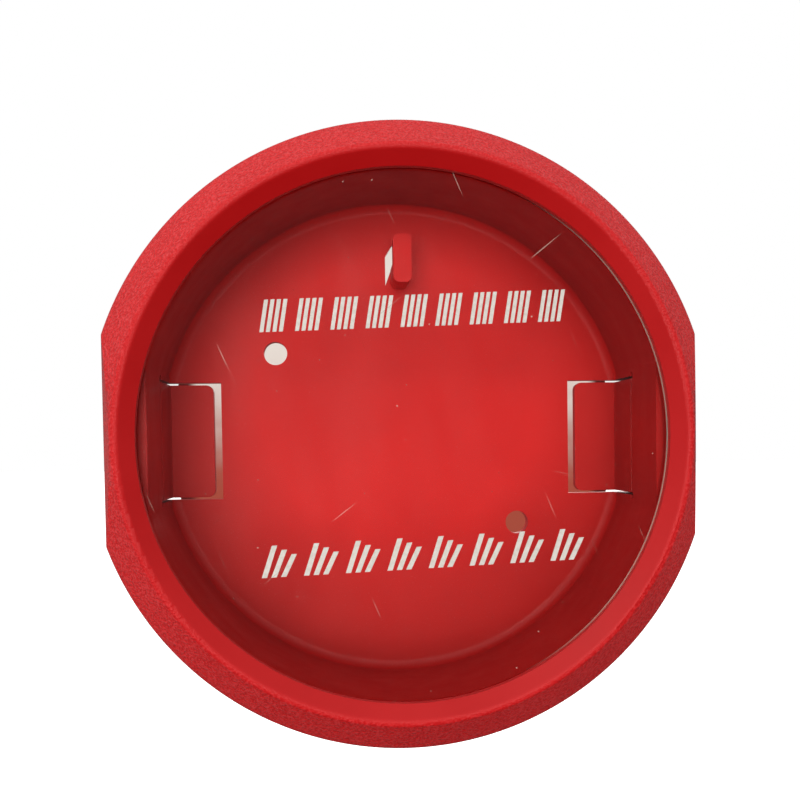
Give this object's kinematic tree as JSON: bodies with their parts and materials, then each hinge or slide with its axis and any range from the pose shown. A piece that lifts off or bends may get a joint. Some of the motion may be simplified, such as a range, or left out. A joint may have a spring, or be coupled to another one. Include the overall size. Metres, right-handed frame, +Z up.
{
  "type": "emergency key box",
  "caption": "Round wall-mounted emergency key box with a break-glass pane in a clip-on cover ring, a key hook and sprung latches.",
  "frame": {"origin": "centre of the back face that lies on the wall", "axes": "+Z up, -Y out of the wall towards the person in front, +X to that person's right"},
  "size_m": [0.113, 0.0356, 0.12],
  "materials": {
    "tray_plastic": "smooth semi-gloss moulded red",
    "latch_plastic": "smooth semi-gloss moulded red",
    "cover_plastic": "fine-grained outer band, smooth inner slope, red",
    "pane_glass": "clear polished",
    "print_ink": "screen-printed off-white ink"
  },
  "bodies": {
    "tray": {"key_tray": "tray_plastic"},
    "left_latch": {"left_latch": "latch_plastic"},
    "right_latch": {"right_latch": "latch_plastic"},
    "cover": {"cover_ring": "cover_plastic"},
    "pane": {"clear_pane": "pane_glass", "printed_marks": "print_ink"}
  },
  "joints": [
    {"name": "cover_pull", "type": "slide", "parent": "tray", "child": "cover", "axis": [0, -1, 0], "range_m": [0, 0.042]},
    {"name": "pane_turn", "type": "hinge", "parent": "cover", "child": "pane", "pos_m": [0, -0.0307, 0], "axis": [0, -1, 0], "continuous": true},
    {"name": "left_latch_swing", "type": "hinge", "parent": "tray", "child": "left_latch", "pos_m": [-0.05, -0.0145, 0], "axis": [0, 0, -1], "range_deg": [0, 6], "stiffness_Nm_per_rad": 0.4},
    {"name": "right_latch_swing", "type": "hinge", "parent": "tray", "child": "right_latch", "pos_m": [0.05, -0.0145, 0], "axis": [0, 0, 1], "range_deg": [0, 6], "stiffness_Nm_per_rad": 0.4}
  ]
}
